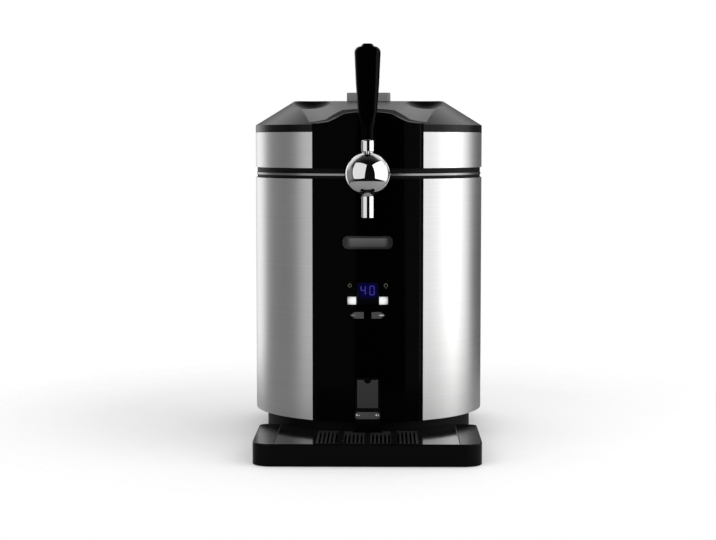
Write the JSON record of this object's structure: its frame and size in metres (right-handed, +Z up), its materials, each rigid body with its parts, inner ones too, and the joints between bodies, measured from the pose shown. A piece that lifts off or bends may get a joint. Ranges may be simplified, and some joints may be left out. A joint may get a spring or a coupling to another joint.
{
  "type": "beer dispenser",
  "caption": "Cooled countertop dispenser for a mini keg, with a ball tap and lever on a black column, steel sides, a hinged lid and a slotted drip tray.",
  "frame": {"origin": "on the floor, at the middle of the footprint, which is the axis of the keg chamber", "axes": "+Z up, -Y to the front where the tap is, +X to the right of someone facing the front"},
  "size_m": [0.276, 0.4332, 0.4705],
  "materials": {
    "black_plastic": "gloss",
    "matte_black_plastic": "satin",
    "brushed_steel": "satin",
    "zinc_steel": "satin",
    "bright_trim": "satin",
    "chrome": "polished",
    "aluminium": "satin",
    "grey_plastic": "satin",
    "light_key": "satin",
    "display_window": "gloss",
    "insulation": "matte",
    "rubber": "matte",
    "circuit_board": "satin",
    "ceramic": "matte"
  },
  "bodies": {
    "cabinet": {"cabinet_shell": "matte_black_plastic", "side_panel_left": "brushed_steel", "side_panel_right": "brushed_steel", "front_column": "black_plastic", "plinth": "matte_black_plastic", "rubber_feet": "rubber", "top_deck": "matte_black_plastic", "trim_left": "bright_trim", "trim_right": "bright_trim", "lid_gasket": "rubber", "keg_chamber": "aluminium", "body_foam": "insulation", "cold_block": "aluminium", "cooling_module": "ceramic", "heat_sink": "aluminium", "fan_frame": "matte_black_plastic", "rear_cover": "matte_black_plastic", "rear_cover_screws": "zinc_steel", "fan_screws": "zinc_steel", "power_inlet": "matte_black_plastic", "switch_frame": "matte_black_plastic", "power_board": "circuit_board", "control_board": "circuit_board", "display_lens": "display_window", "badge_plate": "grey_plastic", "latch_keepers": "zinc_steel", "hinge_pin": "zinc_steel", "deck_hinge_ears": "zinc_steel", "faucet_body": "chrome", "spout": "chrome", "tap_shank": "chrome", "tap_collar": "chrome", "shank_nut": "zinc_steel", "lever_pin": "zinc_steel"},
    "lid": {"lid_shell": "black_plastic", "lid_fascia": "black_plastic", "lid_band_left": "brushed_steel", "lid_band_right": "brushed_steel", "lid_liner": "matte_black_plastic", "lid_foam": "insulation", "lid_hinge_ears": "zinc_steel"},
    "lid_button": {"release_button": "grey_plastic"},
    "latch": {"latch_bar": "zinc_steel"},
    "lever": {"tap_lever": "chrome", "tap_handle": "black_plastic"},
    "plunger": {"tap_plunger": "zinc_steel"},
    "fan": {"fan_rotor": "matte_black_plastic"},
    "rocker": {"power_rocker": "black_plastic"},
    "key_power": {"power_key": "light_key"},
    "key_light": {"light_key": "light_key"},
    "key_cooler": {"cooler_key": "grey_plastic"},
    "key_warmer": {"warmer_key": "grey_plastic"},
    "tray": {"drip_tray": "black_plastic", "tray_upstand": "black_plastic", "tongue_plate": "grey_plastic", "catch_bar": "bright_trim"},
    "grille": {"drip_grille": "black_plastic"}
  },
  "joints": [
    {"name": "lid_hinge", "type": "hinge", "parent": "cabinet", "child": "lid", "pos_m": [0, 0.202, 0.327], "axis": [-1, 0, 0], "range_deg": [0, 80]},
    {"name": "lid_button_press", "type": "slide", "parent": "lid", "child": "lid_button", "axis": [0, 0, -1], "range_m": [0, 0.004], "stiffness_N_per_m": 400, "springref_m": -0.002},
    {"name": "latch_slide", "type": "slide", "parent": "lid", "child": "latch", "axis": [0, 1, 0], "range_m": [0, 0.004]},
    {"name": "tap_lever_tilt", "type": "hinge", "parent": "cabinet", "child": "lever", "pos_m": [0, -0.168, 0.3249], "axis": [1, 0, 0], "range_deg": [0, 25]},
    {"name": "tap_plunger_slide", "type": "slide", "parent": "cabinet", "child": "plunger", "axis": [0, 1, 0], "range_m": [0, 0.0022]},
    {"name": "fan_spin", "type": "hinge", "parent": "cabinet", "child": "fan", "pos_m": [0, 0.2, 0.185], "axis": [0, 1, 0], "continuous": true},
    {"name": "power_rocker_tilt", "type": "hinge", "parent": "cabinet", "child": "rocker", "pos_m": [0.046, 0.1935, 0.072], "axis": [1, 0, 0], "range_deg": [0, 14]},
    {"name": "tray_slide", "type": "slide", "parent": "cabinet", "child": "tray", "axis": [0, -1, 0], "range_m": [0, 0.12]},
    {"name": "grille_lift", "type": "slide", "parent": "tray", "child": "grille", "axis": [0, 0, 1], "range_m": [0, 0.01]},
    {"name": "power_key_press", "type": "slide", "parent": "cabinet", "child": "key_power", "axis": [0, 1, 0], "range_m": [0, 0.0008], "stiffness_N_per_m": 600, "springref_m": -0.0005},
    {"name": "light_key_press", "type": "slide", "parent": "cabinet", "child": "key_light", "axis": [0, 1, 0], "range_m": [0, 0.0008], "stiffness_N_per_m": 600, "springref_m": -0.0005},
    {"name": "cooler_key_press", "type": "slide", "parent": "cabinet", "child": "key_cooler", "axis": [0, 1, 0], "range_m": [0, 0.0008], "stiffness_N_per_m": 600, "springref_m": -0.0005},
    {"name": "warmer_key_press", "type": "slide", "parent": "cabinet", "child": "key_warmer", "axis": [0, 1, 0], "range_m": [0, 0.0008], "stiffness_N_per_m": 600, "springref_m": -0.0005}
  ],
  "couplings": [
    {"joint": "latch_slide", "follows": "lid_button_press", "ratio": 1},
    {"joint": "tap_plunger_slide", "follows": "tap_lever_tilt", "m_per_rad": 0.005}
  ]
}
